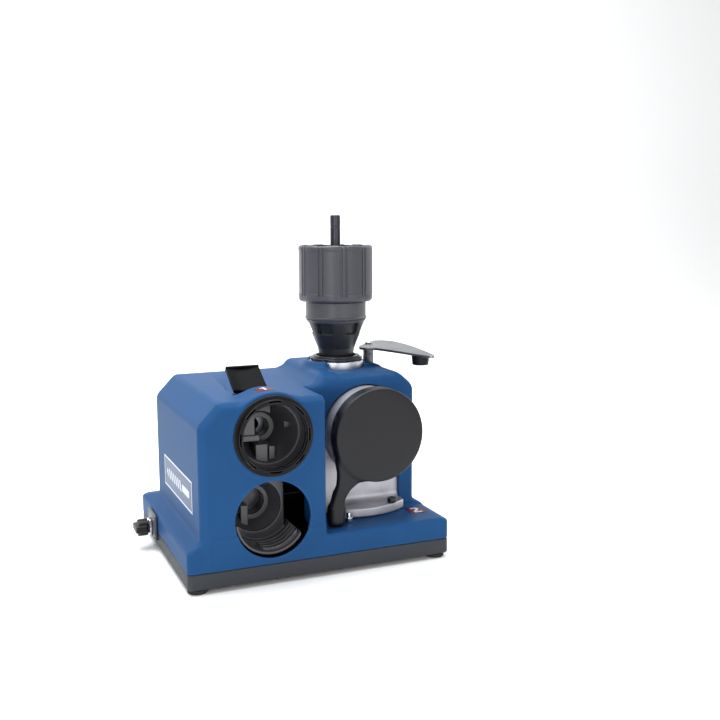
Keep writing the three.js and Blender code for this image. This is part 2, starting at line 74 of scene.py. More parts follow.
def surface(f, lo, hi, h):
    """points and quads of the field's zero surface on a grid of pitch h"""
    lo = np.array(lo, float) - 1.5 * h; hi = np.array(hi, float) + 1.5 * h
    n = np.ceil((hi - lo) / h).astype(int) + 1
    gx, gy, gz = [lo[i] + h * np.arange(n[i]) for i in range(3)]
    vol = np.empty(n, np.float32)
    step = max(1, int(3e6 / (n[1] * n[2])))
    for i in range(0, n[0], step):
        vol[i:i + step] = f(gx[i:i + step, None, None], gy[None, :, None], gz[None, None, :])
    vol[vol == 0] = 1e-6
    ins = vol < 0
    nx, ny, nz = n
    acc = np.zeros((nx - 1, ny - 1, nz - 1, 3), np.float32); cnt = np.zeros((nx - 1, ny - 1, nz - 1), np.float32)
    ends = []
    for ax in range(3):
        sl0 = [slice(None)] * 3; sl1 = [slice(None)] * 3
        sl0[ax] = slice(0, -1); sl1[ax] = slice(1, None)
        a, b = vol[tuple(sl0)], vol[tuple(sl1)]
        cr = ins[tuple(sl0)] != ins[tuple(sl1)]
        idx = np.argwhere(cr)
        va, vb = a[cr], b[cr]
        t = va / (va - vb)
        ends.append((idx, va < 0))
        pos = idx.astype(np.float32); pos[:, ax] += t
        o1, o2 = [k for k in range(3) if k != ax]
        for d1 in (0, -1):
            for d2 in (0, -1):
                c = idx.copy(); c[:, o1] += d1; c[:, o2] += d2
                ok = np.all(c >= 0, axis=1) & np.all(c < np.array([nx - 1, ny - 1, nz - 1]), axis=1)
                cc = c[ok]; np.add.at(acc, tuple(cc.T), pos[ok]); np.add.at(cnt, tuple(cc.T), 1)
    act = cnt > 0
    ids = np.full(cnt.shape, -1, np.int64); ids[act] = np.arange(act.sum())
    P = acc[act] / cnt[act][:, None]
    P = lo + P.astype(np.float64) * h
    quads = []
    for ax in range(3):
        idx, neg = ends[ax]
        o1, o2 = [(1, 2), (2, 0), (0, 1)][ax]
        cs = []
        for d1, d2 in ((-1, -1), (0, -1), (0, 0), (-1, 0)):
            c = idx.copy(); c[:, o1] += d1; c[:, o2] += d2; cs.append(ids[tuple(np.clip(c, 0, np.array(cnt.shape) - 1).T)])
        q = np.stack(cs, 1)
        q[~neg] = q[~neg][:, ::-1]
        quads.append(q)
    return P, np.concatenate(quads)

def grad(f, P, e=0.04):
    g = np.zeros_like(P)
    for k in range(3):
        a = P.copy(); b = P.copy(); a[:, k] += e; b[:, k] -= e
        g[:, k] = (f(*a.T) - f(*b.T)) / (2 * e)
    return g

def show(me, name, body, nodes, mat):
    o = bpy.data.objects.new(name, me)
    bpy.context.scene.collection.objects.link(o)
    if mat: me.materials.append(mat)
    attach(o, body)
    if nodes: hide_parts(*nodes)
    return o

def carve(name, f, lo, hi, h, body, nodes, mat, keep=0.25, snap=3):
    """a closed mesh of the field, thinned where it is flat, with the field's own normals"""
    h = h * KQ
    P, Q = surface(f, lo, hi, h)
    for _ in range(snap):
        d = f(*P.T); g = grad(f, P); g2 = (g * g).sum(1)
        st = np.clip(d / np.maximum(g2, 0.3), -0.4 * h, 0.4 * h)
        P = P - g * st[:, None] * 0.9
    me = bpy.data.meshes.new(name)
    me.vertices.add(len(P)); me.vertices.foreach_set("co", ((P + OFF) / 1000).ravel())
    me.loops.add(Q.size); me.loops.foreach_set("vertex_index", Q.ravel())
    me.polygons.add(len(Q)); me.polygons.foreach_set("loop_start", np.arange(len(Q)) * 4)
    me.update(calc_edges=True); me.validate()
    if keep < 1:
        o = bpy.data.objects.new(name + "_t", me); bpy.context.scene.collection.objects.link(o)
        m = o.modifiers.new("d", "DECIMATE"); m.ratio = keep
        dg = bpy.context.evaluated_depsgraph_get()
        me2 = bpy.data.meshes.new_from_object(o.evaluated_get(dg))
        bpy.data.objects.remove(o); bpy.data.meshes.remove(me); me = me2; me.name = name
    n = len(me.vertices)
    co = np.empty(n * 3); me.vertices.foreach_get("co", co)
    co = co.reshape(-1, 3) * 1000 - OFF
    g = grad(f, co, 0.12); g /= np.maximum(np.linalg.norm(g, axis=1), 1e-6)[:, None]
    me.polygons.foreach_set("use_smooth", np.ones(len(me.polygons), bool))
    me.normals_split_custom_set_from_vertices(g.tolist())
    return show(me, name, body, nodes, mat)

def from_py(name, verts, faces, body, nodes, mat, bevel=0.0, smooth=True, angle=35):
    me = bpy.data.meshes.new(name)
    me.from_pydata([tuple((np.array(v) + OFF) / 1000) for v in verts], [], faces)
    me.update()
    bm = bmesh.new(); bm.from_mesh(me); bmesh.ops.recalc_face_normals(bm, faces=bm.faces); bm.to_mesh(me); bm.free()
    if smooth: me.polygons.foreach_set("use_smooth", np.ones(len(me.polygons), bool))
    o = show(me, name, body, nodes, mat)
    if bevel:
        m = o.modifiers.new("b", "BEVEL"); m.width = bevel / 1000; m.segments = 3; m.limit_method = "ANGLE"; m.angle_limit = math.radians(30); m.harden_normals = True
    return o

def arcs(pts, r, seg=4, closed=True):
    """outline with its corners rounded; r is one radius or one per corner"""
    out = []; n = len(pts)
    for i in range(n):
        p = np.array(pts[i], float)
        if not closed and i in (0, n - 1): out.append(tuple(p)); continue
        a = np.array(pts[i - 1], float) - p; b = np.array(pts[(i + 1) % n], float) - p
        la, lb = np.linalg.norm(a), np.linalg.norm(b)
        ri = r[i] if isinstance(r, (list, tuple)) else r
        ca = np.clip(np.dot(a, b) / (la * lb), -1, 1); th = math.acos(ca)
        if ri <= 0 or th > math.pi - 0.05: out.append(tuple(p)); continue
        t = min(ri / math.tan(th / 2), 0.45 * la, 0.45 * lb)
        p0, p1 = p + a / la * t, p + b / lb * t
        for k in range(seg + 1):
            s = k / seg
            out.append(tuple((1 - s) ** 2 * p0 + 2 * s * (1 - s) * p + s * s * p1))
    return out

def lathe(name, ax, c, prof, body, nodes, mat, n=96, angle=40):
    """closed profile of (radius, height) turned about X, Y or Z through c"""
    n = n
    bm = bmesh.new(); rings = []
    for r, hgt in prof:
        ring = []
        if r < 1e-6:
            p = {"Z": (c[0], c[1], hgt), "Y": (c[0], hgt, c[1]), "X": (hgt, c[0], c[1])}[ax]
            ring = [bm.verts.new((np.array(p) + OFF) / 1000)] * n
        else:
            for k in range(n):
                t = 2 * math.pi * k / n; u, v = r * math.cos(t), r * math.sin(t)
                p = {"Z": (c[0] + u, c[1] + v, hgt), "Y": (c[0] + u, hgt, c[1] + v), "X": (hgt, c[0] + u, c[1] + v)}[ax]
                ring.append(bm.verts.new((np.array(p) + OFF) / 1000))
        rings.append(ring)
    m = len(prof)
    closed = prof[0][0] > 1e-6
    for i in range(m if closed else m - 1):
        A, B = rings[i], rings[(i + 1) % m]
        for k in range(n):
            q = [A[k], A[(k + 1) % n], B[(k + 1) % n], B[k]]
            u = []
            for w in q:
                if w not in u: u.append(w)
            if len(u) >= 3: bm.faces.new(u)
    bmesh.ops.recalc_face_normals(bm, faces=bm.faces)
    for f in bm.faces: f.smooth = True
    for e in bm.edges:
        if len(e.link_faces) == 2 and e.calc_face_angle(0) > math.radians(angle): e.smooth = False
    me = bpy.data.meshes.new(name); bm.to_mesh(me); bm.free()
    return show(me, name, body, nodes, mat)

def loft(name, rings, body, nodes, mat, angle=50):
    """rings of equally many points joined in order, both ends capped"""
    bm = bmesh.new(); rv = [[bm.verts.new((np.array(p) + OFF) / 1000) for p in r] for r in rings]
    n = len(rings[0])
    for A, B in zip(rv, rv[1:]):
        for k in range(n): bm.faces.new([A[k], A[(k + 1) % n], B[(k + 1) % n], B[k]])
    bm.faces.new(rv[0]); bm.faces.new(rv[-1])
    bmesh.ops.recalc_face_normals(bm, faces=bm.faces)
    for f in bm.faces: f.smooth = len(f.verts) == 4
    for e in bm.edges:
        if len(e.link_faces) == 2 and e.calc_face_angle(0) > math.radians(angle): e.smooth = False
    me = bpy.data.meshes.new(name); bm.to_mesh(me); bm.free()
    return show(me, name, body, nodes, mat)

def rr_pts(x0, x1, y0, y1, r, n=8):
    out = []
    for cx, cy, a in ((x1 - r, y1 - r, 0), (x0 + r, y1 - r, 90), (x0 + r, y0 + r, 180), (x1 - r, y0 + r, 270)):
        for i in range(n + 1):
            t = math.radians(a + 90 * i / n); out.append((cx + r * math.cos(t), cy + r * math.sin(t)))
    return out

# ------------------------------------------------------------------ materials
def srgb(c):
    return tuple(((v / 255) / 12.92 if v / 255 <= 0.04045 else ((v / 255 + 0.055) / 1.055) ** 2.4) for v in c) + (1.0,)

def material(name, col, col2, rough, rvar=0.06, metal=0.0, grain=900.0, bump=0.00002, mottle=28.0, spec=0.5, coat=0.0,
             brush=None, wear=None, aniso=0.0, painted_top_light=0.0, low=None):
    m = bpy.data.materials.new(name); m.use_nodes = True
    nt = m.node_tree; N = nt.nodes; L = nt.links
    b = N["Principled BSDF"]
    b.inputs["Metallic"].default_value = metal
    b.inputs["Specular IOR Level"].default_value = spec
    b.inputs["Coat Weight"].default_value = coat
    if coat: b.inputs["Coat Roughness"].default_value = 0.18
    b.inputs["Anisotropic"].default_value = aniso
    tc = N.new("ShaderNodeTexCoord")
    n1 = N.new("ShaderNodeTexNoise"); n1.inputs["Scale"].default_value = mottle; n1.inputs["Detail"].default_value = 5.0
    L.new(tc.outputs["Object"], n1.inputs["Vector"])
    ramp = N.new("ShaderNodeMix"); ramp.data_type = "RGBA"
    ramp.inputs["A"].default_value = col; ramp.inputs["B"].default_value = col2
    mr = N.new("ShaderNodeMapRange"); mr.inputs["From Min"].default_value = 0.3; mr.inputs["From Max"].default_value = 0.7
    L.new(n1.outputs["Fac"], mr.inputs["Value"]); L.new(mr.outputs["Result"], ramp.inputs["Factor"])
    colour = ramp.outputs["Result"]
    n2 = N.new("ShaderNodeTexNoise"); n2.inputs["Scale"].default_value = grain; n2.inputs["Detail"].default_value = 3.0
    if brush:
        mp = N.new("ShaderNodeMapping"); mp.inputs["Scale"].default_value = brush
        L.new(tc.outputs["Object"], mp.inputs["Vector"]); L.new(mp.outputs["Vector"], n2.inputs["Vector"])
    else:
        L.new(tc.outputs["Object"], n2.inputs["Vector"])
    rr = N.new("ShaderNodeMapRange"); rr.inputs["To Min"].default_value = max(0.03, rough - rvar); rr.inputs["To Max"].default_value = min(1, rough + rvar)
    mx = N.new("ShaderNodeMath"); mx.operation = "ADD"
    hf = N.new("ShaderNodeMath"); hf.operation = "MULTIPLY"; hf.inputs[1].default_value = 0.5
    L.new(n1.outputs["Fac"], mx.inputs[0]); L.new(n2.outputs["Fac"], mx.inputs[1]); L.new(mx.outputs[0], hf.inputs[0])
    L.new(hf.outputs[0], rr.inputs["Value"]); L.new(rr.outputs["Result"], b.inputs["Roughness"])
    bp = N.new("ShaderNodeBump"); bp.inputs["Strength"].default_value = 1.0; bp.inputs["Distance"].default_value = bump
    L.new(n2.outputs["Fac"], bp.inputs["Height"]); L.new(bp.outputs["Normal"], b.inputs["Normal"])
    if low:
        # another shade below a given height, or in front of a given depth, on the piece
        sz = N.new("ShaderNodeSeparateXYZ"); L.new(tc.outputs["Object"], sz.inputs[0])
        zr = N.new("ShaderNodeMapRange"); zr.inputs["From Min"].default_value = low[0] - 0.0006; zr.inputs["From Max"].default_value = low[0] + 0.0006
        L.new(sz.outputs[low[2] if len(low) > 2 else "Z"], zr.inputs["Value"])
        lm = N.new("ShaderNodeMix"); lm.data_type = "RGBA"; lm.inputs["A"].default_value = low[1]
        L.new(zr.outputs["Result"], lm.inputs["Factor"]); L.new(colour, lm.inputs["B"]); colour = lm.outputs["Result"]
        if len(low) > 3:
            ls = N.new("ShaderNodeMapRange"); ls.inputs["To Min"].default_value = low[3]; ls.inputs["To Max"].default_value = spec
            L.new(zr.outputs["Result"], ls.inputs["Value"]); L.new(ls.outputs["Result"], b.inputs["Specular IOR Level"])
    if wear:
        geo = N.new("ShaderNodeNewGeometry")
        wr = N.new("ShaderNodeMapRange"); wr.inputs["From Min"].default_value = 0.52; wr.inputs["From Max"].default_value = 0.62
        L.new(geo.outputs["Pointiness"], wr.inputs["Value"])
        n3 = N.new("ShaderNodeTexNoise"); n3.inputs["Scale"].default_value = 160.0; L.new(tc.outputs["Object"], n3.inputs["Vector"])
        wm = N.new("ShaderNodeMath"); wm.operation = "MULTIPLY"; L.new(wr.outputs["Result"], wm.inputs[0]); L.new(n3.outputs["Fac"], wm.inputs[1])
        mxw = N.new("ShaderNodeMix"); mxw.data_type = "RGBA"; mxw.inputs["B"].default_value = wear
        L.new(wm.outputs[0], mxw.inputs["Factor"]); L.new(colour, mxw.inputs["A"]); colour = mxw.outputs["Result"]
    # painted top light: a lighter bluish grey mixed in on faces that point up, the more the steeper up they face,
    # standing in for light falling on the tops
    if painted_top_light:
        geo2 = N.new("ShaderNodeNewGeometry"); sx = N.new("ShaderNodeSeparateXYZ"); L.new(geo2.outputs["Normal"], sx.inputs[0])
        top_light_amount = N.new("ShaderNodeMath"); top_light_amount.operation = "MULTIPLY"; top_light_amount.use_clamp = True; top_light_amount.inputs[1].default_value = painted_top_light
        L.new(sx.outputs["Z"], top_light_amount.inputs[0])
        top_light_mix = N.new("ShaderNodeMix"); top_light_mix.data_type = "RGBA"; top_light_mix.inputs["B"].default_value = srgb((150, 160, 175))
        L.new(top_light_amount.outputs[0], top_light_mix.inputs["Factor"]); L.new(colour, top_light_mix.inputs["A"]); colour = top_light_mix.outputs["Result"]
    L.new(colour, b.inputs["Base Color"])
    return m

M = {}
M["blue"] = material("m_blue_shell", srgb((25, 65, 108)), srgb((28, 70, 115)), 0.5, 0.05, grain=1500.0, bump=0.000012, mottle=20.0, spec=0.08, wear=srgb((62, 104, 150)))
M["black"] = material("m_black_moulded", srgb((8, 7, 12)), srgb((11, 10, 16)), 0.46, 0.06, grain=1300.0, bump=0.00002, mottle=40.0, spec=0.34, wear=srgb((74, 74, 80)))
M["base"] = material("m_base_black", srgb((22, 26, 33)), srgb((27, 31, 39)), 0.55, 0.07, grain=1400.0, bump=0.00003, mottle=30.0, wear=srgb((66, 68, 74)))
M["gloss"] = material("m_black_gloss", srgb((14, 13, 15)), srgb((19, 18, 20)), 0.27, 0.06, grain=700.0, bump=0.000002, mottle=35.0, spec=0.35, wear=srgb((62, 62, 66)))
M["knob"] = material("m_knob_grey_plastic", srgb((54, 54, 61)), srgb((61, 61, 69)), 0.38, 0.07, grain=1200.0, bump=0.00002, mottle=40.0, spec=0.5, wear=srgb((112, 112, 118)))
M["rest"] = material("m_rest_plastic", srgb((56, 55, 60)), srgb((66, 65, 70)), 0.25, 0.06, grain=900.0, bump=0.000004, mottle=40.0, spec=0.6, wear=srgb((96, 96, 102)))
M["cone"] = material("m_chuck_plastic", srgb((62, 62, 68)), srgb((70, 70, 76)), 0.4, 0.07, grain=1200.0, bump=0.00002, mottle=40.0, spec=0.5, low=(0.1795, srgb((24, 24, 27))))
M["paddle"] = material("m_paddle_black", srgb((8, 8, 10)), srgb((13, 13, 15)), 0.38, 0.06, grain=700.0, bump=0.000002, mottle=60.0, spec=0.03, wear=srgb((60, 60, 64)))
# painted light: behind the given depth (the inside of the bowl) the black plastic gets a lighter grey that stands in
# for light falling on the bowl's walls; in front of that depth the ring keeps its true near-black
M["bowl"] = material("m_bowl_black_painted_light", srgb((42, 41, 45)), srgb((49, 48, 52)), 0.36, 0.05, grain=500.0, bump=0.0000005, mottle=30.0, spec=0.75, wear=srgb((84, 82, 86)), low=(-0.0846, srgb((8, 7, 9)), "Y", 0.16))
M["rubber"] = material("m_rubber", srgb((34, 34, 36)), srgb((44, 44, 46)), 0.85, 0.05, grain=2000.0, bump=0.00004, mottle=60.0, spec=0.3)
M["alu"] = material("m_cast_aluminium", srgb((190, 189, 195)), srgb((172, 171, 177)), 0.46, 0.08, metal=0.75, grain=1100.0, bump=0.00004, mottle=90.0, wear=srgb((240, 240, 242)))
M["alu_turned"] = material("m_turned_aluminium", srgb((214, 215, 221)), srgb((198, 199, 205)), 0.3, 0.06, metal=1.0, grain=700.0, bump=0.000015, mottle=60.0, brush=(1, 1, 30), aniso=0.4)
M["steel"] = material("m_steel", srgb((118, 119, 124)), srgb((98, 99, 105)), 0.3, 0.08, metal=1.0, grain=600.0, bump=0.00001, mottle=70.0, brush=(1, 1, 12))
M["dark_steel"] = material("m_dark_steel", srgb((66, 67, 72)), srgb((54, 55, 60)), 0.34, 0.08, metal=1.0, grain=700.0, bump=0.000015, mottle=80.0, wear=srgb((120, 120, 126)))
M["leaf"] = material("m_leaf_grey", srgb((96, 96, 103)), srgb((84, 84, 91)), 0.36, 0.08, metal=0.9, grain=900.0, bump=0.00002, mottle=60.0, wear=srgb((190, 190, 195)), low=(0.1551, srgb((30, 30, 34))))
M["chrome"] = material("m_chrome", srgb((226, 227, 230)), srgb((210, 211, 215)), 0.12, 0.05, metal=1.0, grain=500.0, bump=0.000005, mottle=90.0)
M["grit"] = material("m_diamond_grit", srgb((150, 146, 138)), srgb((110, 106, 100)), 0.75, 0.1, metal=0.2, grain=2600.0, bump=0.00015, mottle=300.0)
M["white"] = material("m_white_plastic", srgb((226, 226, 222)), srgb((214, 214, 210)), 0.5, 0.05)
M["copper"] = material("m_copper", srgb((176, 104, 62)), srgb((150, 84, 48)), 0.4, 0.1, metal=0.9, grain=1200.0, bump=0.0001, mottle=60.0)
M["red"] = material("m_red_print", srgb((92, 4, 12)), srgb((84, 3, 10)), 0.42, 0.05, mottle=200.0, bump=0.000004, spec=0.12)
M["red_dark"] = material("m_red_print_edge", srgb((46, 4, 10)), srgb((40, 3, 8)), 0.42, 0.05, mottle=200.0, bump=0.000004, spec=0.12)
M["print_white"] = material("m_white_print", srgb((196, 200, 206)), srgb((188, 192, 199)), 0.45, 0.05, mottle=200.0, bump=0.000004)
M["print_blue"] = material("m_blue_print", srgb((10, 52, 96)), srgb((12, 56, 101)), 0.4, 0.05, mottle=60.0, bump=0.000004)
SLOT = {"blue_plastic": "blue", "black_plastic": "black", "gloss_black": "gloss", "rubber": "rubber", "aluminium": "alu", "steel": "steel",
        "dark_steel": "dark_steel", "chrome": "chrome", "diamond_grit": "grit", "white_plastic": "white", "copper": "copper"}
for s in frame["record"]["subparts"]:
    o = frame["nodes"][s["node"]]
    o.data.materials.clear(); o.data.materials.append(M[SLOT[s["material_slot"]]])

# ------------------------------------------------------------------ base and feet
ins = [(1.6, 0), (0.9, 0.15), (0.35, 0.55), (0.05, 1.3), (0, 2.2), (0, 10.2), (0.12, 11.1), (0.45, 11.7), (1.0, 12.0), (2.4, 12.0), (2.8, 11.8), (3, 11.3), (3.0, 3.0)]
loft("base_shell", [[(x, y, z) for x, y in rr_pts(i, 206 - i, i, 170 - i, 3.9 - min(i, 3.0))] for i, z in ins], "machine", ["base_tray"], M["base"])
for n, x, y in (("foot_front_left", 8.4, 8.4), ("foot_front_right", 197.6, 8.4), ("foot_rear_left", 8.4, 161.6), ("foot_rear_right", 197.6, 161.6)):
    lathe(n + "_pad", "Z", (x, y), [(0, -3.5)] + arcs([(0, -3.5), (6.6, -3.5), (7.4, -2.6), (7.4, -0.3), (0, -0.3)], 0.6, closed=False)[1:-1] + [(0, -0.3)], "machine", [n], M["rubber"], n=48)

# ------------------------------------------------------------------ housing
def housing_outer(x, y, z):
    sk = rrect(x, y, 0, 206, 0, 170, 3.9)
    sl = rmax(rmax(plane(x, z, 0, 27.6, -0.481, 0.876), plane(x, z, 206, 27.6, 0.489, 0.872), 3), plane(y, z, 170, 27.6, 0.296, 0.955), 3)
    sk = rmax(sk, sl, 2.5)
    sk = np.maximum(sk, z - 35)
    top = rmax(z - 132.4, plane(x, z, 25.7, 132.4, -0.72, 0.69), 2.0)
    face = rmax(slab(x, 10.2, 120), top, 1.2)
    bl = rmax(rmax(slab(x, 10.2, 120), slab(y, 0, 145.5), 2.4), top, 2.2)
    bl = rmax(bl, (face - y + 4.3) * 0.7071, 1.2)
    u = rmin(sk, bl, 2.5)
    bay = rmax(rmax(104.5 - x, y - 42.5, 2), 28.5 - z, 1.5)
    u = cut(u, bay, 3.5)
    blt = cut(bl, bay, 3.5)
    step = plane(x - 0.06 * (y - 42), z, 111.5, 132.4, -0.76, 0.65)
    roof = rmax(rmax(z - 141.3, plane(x, z, 182, 141.3, 0.72, 0.694), 3), step, 3)
    tw = rmax(slab(x, 102, 196), y - 145.5, 3)
    tw = rmax(tw, roof, 3.0)
    tw = rmax(tw, rmax(42 - y, z - 141.3, 15), 4)
    # lowered seat in front of the port
    seat = rmax(rmax(134.5 - x, y - 82, 6), 138.4 - z, 3)
    tw = cut(tw, seat, 3)
    # raised hood round the left of the port
    hood = rmax(rmax(cyl(x, y, 149.8, 94, 27.0), plane(x, z, 120, 143.6, -0.12, 0.993), 2.5), plane(x, y, 134.5, 74, 0.8, -0.6), 3.5)
    hood = rmax(hood, 125 - z, 1)
    tw = rmin(tw, hood, 6)
    u = np.minimum(rmin(u, tw, 2.5), np.maximum(rmin(blt, tw, 4.5), 104 - z))
    bulge = rmax(cyl(x, z, 64, 106.5, 31.5), slab(y, 0, 28.5), 2.2)
    u = rmin(u, bulge, 3.0)
    trough = rmax(rmax(plane(x - 0.0755 * (y - 33.8), z, 44.9, 132.4, -0.8, 0.45), x - 73, 1.5), rmax(slab(y, 30.5, 134), 126.6 + np.maximum(y - 50, 0) * 0.085 - z, 2), 1.5)
    u = cut(u, trough, 1.2)
    return u
def housing_f(x, y, z):
    o = housing_outer(x, y, z)
    u = np.maximum(np.maximum(o, -(o + 3)), 12.3 - z)
    u = cut(u, np.maximum(cyl(x, z, 64, 106.5, 27.5), slab(y, -9, 31)), 0.7)
    u = cut(u, np.maximum(cyl(x, z, 63.4, 45, 28.3), slab(y, -9, 8)), 0.8)
    u = cut(u, bx(x, y, z, 45.6, 72.6, 30.9, 61, 110, 160, 1.0), 0.5)
    win = rmax(rmin(np.maximum(slab(x, 110, 182.5), slab(z, 20, 96)), cyl(x, z, 154, 95, 35.4), 0), slab(y, 36, 52), 0)
    u = cut(u, np.maximum(win, 28.0 - z), 0.9)
    u = cut(u, np.maximum(cyl(x, y, 149.8, 94, 22.5), 120 - z), 0.7)
    u = cut(u, np.maximum(cyl(x, y, 184.5, 107, 4.75), 120 - z), 0.5)
    u = cut(u, np.maximum(cyl(x, y, 118, 16, 2.3), slab(z, 20, 32)), 0.3)
    u = cut(u, np.maximum(cyl(y, z, 117, 14, 6.3), x - 5), 0.3)
    u = cut(u, np.maximum(cyl(x, z, 41, 19.8, 5.3), 163 - y), 0.3)
    return u
carve("housing_shell", housing_f, (0, 0, 12.3), (206, 170, 145.5), 0.9, "machine", ["housing"], M["blue"], keep=0.16)

# ------------------------------------------------------------------ station 1 socket
def socket_f(x, y, z):
    X, Z = x - 64, z - 106.5
    r = np.sqrt(X * X + Z * Z); a = np.arctan2(Z, X)
    o = rmax(r - 27, slab(y, -6, 21), 1.0)
    o = rmin(o, rmax(r - 29.4, slab(y, -2.4, -0.35), 0.6), 0.4)
    o = np.minimum(o, np.maximum(plane(r, y, 27, 21, 0.753, 0.658), slab(y, 20, 44)))
    o = np.minimum(o, rmax(r - 13, slab(y, 30, 44), 0.5))
    bore = np.maximum(r - 23.1, y - 9)
    cone = np.maximum(plane(r, y, 20.5, 12, 0.911, 0.412), slab(y, 8.4, 33.4))
    lip = np.maximum(r - 24.1, y + 4.2)
    hollow = np.minimum(np.minimum(bore, cone), lip)
    # stops kept inside the bowl: upright blade, shelf and slotted block
    blade = bx(x, y, z, 64 - 26, 64 - 10.5, 10, 26, 106.5 - 0.5, 106.5 + 14.5, 0.6)
    ledge = bx(x, y, z, 64 - 26, 64 - 6.5, 11, 32, 106.5 - 5.5, 106.5 - 0.9, 0.8)
    block = bx(x, y, z, 64 - 10.0, 64 - 0.6, 11, 32, 106.5 - 26, 106.5 - 8.0, 0.8)
    block2 = bx(x, y, z, 64 + 0.8, 64 + 5.6, 13.5, 32, 106.5 - 26, 106.5 - 10.5, 0.8)
    stops = np.minimum(np.minimum(blade, ledge), np.minimum(block, block2))
    hollow = np.maximum(hollow, -stops)
    o = cut(o, hollow, 0.45)
    o = cut(o, np.maximum(r - 7.2, y - 50), 0.5)
    # upper pocket behind the blade, square window at the right
    o = cut(o, bx(x, y, z, 64 - 9, 64 + 8, 12, 30, 106.5 + 8, 106.5 + 19, 1.5), 0.4)
    o = cut(o, bx(x, y, z, 64 + 13, 64 + 19, 10, 22, 106.5 + 0.5, 106.5 + 5.2, 0.4), 0.3)
    # slots through the ring's face
    k = np.abs((a / (math.pi / 4)) - np.round(a / (math.pi / 4))) * (math.pi / 4) * 25.2
    o = cut(o, np.maximum(rmax(k - 4.6, np.abs(r - 25.5) - 0.62, 0.3), y - 2.5), 0.2)
    return o
carve("socket_port", socket_f, (34, -6, 76.5), (94, 44, 136.5), 0.42, "machine", ["alignment_socket"], M["bowl"], keep=0.22)

# lever paddle with a dished face
def lever_f(x, y, z):
    c, s = math.cos(math.radians(31.3)), math.sin(math.radians(31.3))
    u = (y - 34.6) * c + (z - 134.6) * s; v = -(y - 34.6) * s + (z - 134.6) * c
    face = -0.0 - 1.5 * (1 - np.clip(((x - 58.5) / 13.0) ** 2, 0, 1.4)) + 0.6
    p = rmax(rmax(slab(x, 45.9, 71.5), slab(u, 0.4, 27.4), 1.2), rmax(v - face, -3.4 - v, 0.7), 0.7)
    p = rmin(p, rmax(slab(u, 25.2, 27.6), rmax(slab(x, 45.9, 71.5), slab(v, -3.4, 0.9), 0.5), 0.8), 0.6)
    web = bx(x, y, z, 51, 66, 44.8, 49.8, 124, 138.8, 0.6)
    hub = rmax(cyl(y, z, 47, 124, 4.4), slab(x, 51, 66), 0.5)
    return cut(rmin(p, rmin(web, hub, 1.0), 1.2), cyl(y, z, 47, 124, 2.3))
carve("lever_paddle", lever_f, (45, 34, 119), (72, 60, 150), 0.4, "lever", ["alignment_lever"], M["paddle"], keep=0.3)

# ------------------------------------------------------------------ chuck rest
def rest_f(x, y, z):
    X, Z = x - 63.4, z - 45
    r = np.sqrt(X * X + Z * Z)
    shell = rmax(np.maximum(r - 27.4, 25.4 - r), slab(y, 4.2, 66), 0.5)
    shell = np.maximum(shell, np.maximum(Z + 3, X - 22) * 1.0)
    rib = np.maximum(np.abs(((y - 9.5) / 5.2) - np.clip(np.round((y - 9.5) / 5.2), 0, 3)) * 5.2 - 0.85, slab(y, 5, 30))
    ribs = rmax(rmax(np.maximum(r - 26, 23.4 - r), rib, 0.4), np.maximum(slab(X, -6, 20.5 ), Z + 6), 0.4)
    blk = rmax(rmax(np.maximum(r - 27.4, slab(X, -30, 19.2)), slab(y, 34, 66), 0.8), X - 19.2, 0.8)
    bowl = np.maximum(cyl(x, z, 60.4, 46, 1) + 1 - (19.5 - 0.0) - np.clip((36 - y), -14, 0) * 0.55, slab(y, 30, 47))
    bore = np.maximum(cyl(x, z, 60.4, 46, 10.2), slab(y, 30, 60))
    blk = cut(cut(blk, bowl, 0.5), bore, 0.6)
    lug = bx(x, y, z, 63.4 - 13, 63.4 - 7.2, 41, 60, 45 - 16, 45 + 0.2, 0.5)
    blk = rmin(blk, np.maximum(lug, r - 26), 0.3)
    o = rmin(rmin(shell, blk, 0.8), ribs, 0.3)
    wall = bx(x, y, z, 63.4 + 19.5, 63.4 + 21.3, 8, 60, 45 - 17, 45 + 15, 0.4)
    return o
carve("rest_cradle", rest_f, (35, 3.4, 17.5), (91, 66, 73), 0.5, "machine", ["chuck_rest"], M["rest"], keep=0.22)

# ------------------------------------------------------------------ grinding head casting
def cast_f(x, y, z):
    wall = rmax(bx(x, y, z, 115.5, 188, 45.4, 50, 29.2, 112, 1.0), -1e3 + 0 * x, 0)
    fl = rmax(rmax(cyl(x, y, 150.8, 78.9, 53.9), slab(y, 10, 47), 1.0), slab(z, 29.2, 36), 0.9)
    fl = rmax(fl, slab(x, 127.5, 184.6), 1.0)
    o = rmin(wall, fl, 5.5)
    boss = rmax(cyl(x, z, 154, 95, 34.5), slab(y, 20, 102.7), 0.9)
    o = rmin(o, boss, 2.5)
    col = rmax(cyl(x, y, 149.8, 94, 20), slab(z, 112, 132.7), 0.5)
    o = rmin(o, col, 2)
    o = cut(o, rmax(cyl(x, z, 154, 95, 31), slab(y, 10, 98.7), 1.0), 0.8)
    o = cut(o, np.maximum(cyl(x, y, 149.8, 94, 16.8), 104 - z), 0.4)
    o = cut(o, np.maximum(cyl(x, z, 154, 95, 6), 95 - y), 0.3)
    o = cut(o, rmax(cyl(x, y, 172.3, 33, 4.1), 36.2 - z, 0), 0.2)
    o = cut(o, np.maximum(cyl(x, y, 172.3, 33, 2), z - 37), 0.2)
    for s in (-1, 1): o = cut(o, np.maximum(cyl(x, z, 154 + 16 * s, 95, 1.9), 95 - y), 0.1)
    return np.maximum(o, np.minimum(103.5 - y, z - 123.5) * -1.0 if False else -1e3 + 0 * x)
carve("head_casting", cast_f, (115.5, 20, 29.2), (189, 115, 133), 0.65, "machine", ["grinding_head_casting"], M["alu"], keep=0.18)

